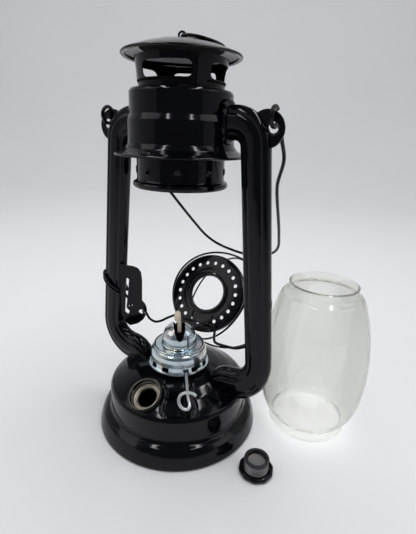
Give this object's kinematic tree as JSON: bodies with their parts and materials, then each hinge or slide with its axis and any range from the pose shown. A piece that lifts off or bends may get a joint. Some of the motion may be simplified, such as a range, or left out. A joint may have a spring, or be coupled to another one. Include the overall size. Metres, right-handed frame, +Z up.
{
  "type": "barn lantern",
  "caption": "Small wick lantern with side air tubes, tipped-back globe plate, hinged bail and a loose glass globe and filler cap.",
  "frame": {"origin": "centre of the tank's base, on the floor", "axes": "+Z up, air tubes at -X and +X, filler at -Y"},
  "size_m": [0.1913, 0.1664, 0.2536],
  "materials": {
    "black_enamel": "gloss black enamel",
    "zinc": "bright zinc plate, faintly iridescent",
    "brass": "dull thread",
    "wick_cotton": "woven cotton tape",
    "globe_glass": "clear",
    "spring_steel": "drawn",
    "bail_wire": "black enamelled wire",
    "lift_wire": "black enamelled wire",
    "gasket": "matt"
  },
  "bodies": {
    "root": {"tank_body": "black_enamel", "tank_bottom": "black_enamel", "tank_collar": "zinc", "filler_neck": "brass", "burner_base": "zinc", "burner_cone": "zinc", "wick_tube": "zinc", "air_tube_left": "black_enamel", "air_tube_right": "black_enamel", "ear_left": "black_enamel", "ear_right": "black_enamel", "hood": "black_enamel", "chimney_spring": "spring_steel", "lever_clip": "lift_wire"},
    "chimney": {"chimney_skirt": "black_enamel", "chimney_tube": "black_enamel", "globe_stop_ring": "zinc", "cowl": "black_enamel", "lid": "black_enamel", "lid_eyelet": "bail_wire"},
    "lid_ring": {"lid_ring": "bail_wire"},
    "bail": {"bail": "bail_wire"},
    "lift_lever": {"lift_lever": "black_enamel"},
    "lift_frame": {"lift_wire": "lift_wire"},
    "plate": {"globe_plate": "black_enamel", "plate_clip_left": "black_enamel", "plate_clip_right": "black_enamel", "guard_hoop_a": "lift_wire", "guard_hoop_b": "lift_wire"},
    "wick": {"wick": "wick_cotton"},
    "wick_key": {"wick_key": "zinc", "wick_wheel_a": "zinc", "wick_wheel_b": "zinc"},
    "globe": {"globe": "globe_glass"},
    "filler_cap": {"filler_cap": "black_enamel", "cap_barrel": "zinc", "cap_gasket": "gasket", "cap_disc": "zinc"}
  },
  "joints": [
    {"name": "chimney_lift", "type": "slide", "parent": "root", "child": "chimney", "axis": [0, 0, 1], "range_m": [0, 0.012], "stiffness_N_per_m": 250, "springref_m": -0.012, "deforming": ["chimney_spring"]},
    {"name": "lid_ring_swing", "type": "hinge", "parent": "chimney", "child": "lid_ring", "pos_m": [0, 0, 0.2504], "axis": [0.6428, -0.766, 0], "range_deg": [0, 200]},
    {"name": "bail_swing", "type": "hinge", "parent": "root", "child": "bail", "pos_m": [0, 0, 0.2097], "axis": [1, 0, 0], "range_deg": [0, 272]},
    {"name": "lift_lever_turn", "type": "hinge", "parent": "root", "child": "lift_lever", "pos_m": [-0.04359, -0.00069, 0.0768], "axis": [0.7071, -0.7071, 0], "range_deg": [0, 49.5]},
    {"name": "globe_lift", "type": "slide", "parent": "root", "child": "lift_frame", "axis": [0, 0, 1], "range_m": [0, 0.009]},
    {"name": "plate_tilt", "type": "hinge", "parent": "lift_frame", "child": "plate", "pos_m": [0.0005, 0.0229, 0.0662], "axis": [1, 0, 0], "range_deg": [0, 121]},
    {"name": "wick_key_turn", "type": "hinge", "parent": "root", "child": "wick_key", "pos_m": [0.00321, 0.00238, 0.0485], "axis": [0.5931, -0.8016, -0.075], "range_deg": [-180, 120]},
    {"name": "wick_raise", "type": "slide", "parent": "root", "child": "wick", "axis": [0, 0, 1], "range_m": [-0.00544, 0.00816]},
    {"name": "globe_lift_off", "type": "slide", "parent": "root", "child": "globe", "axis": [0, 0, 1], "range_m": [0, 0.06]},
    {"name": "cap_lift_off", "type": "slide", "parent": "root", "child": "filler_cap", "axis": [0, 0, 1], "range_m": [0, 0.04]}
  ],
  "couplings": [
    {"joint": "globe_lift", "follows": "lift_lever_turn", "m_per_rad": 0.010416},
    {"joint": "wick_key_turn", "follows": "wick_raise", "rad_per_m": -384.62}
  ]
}
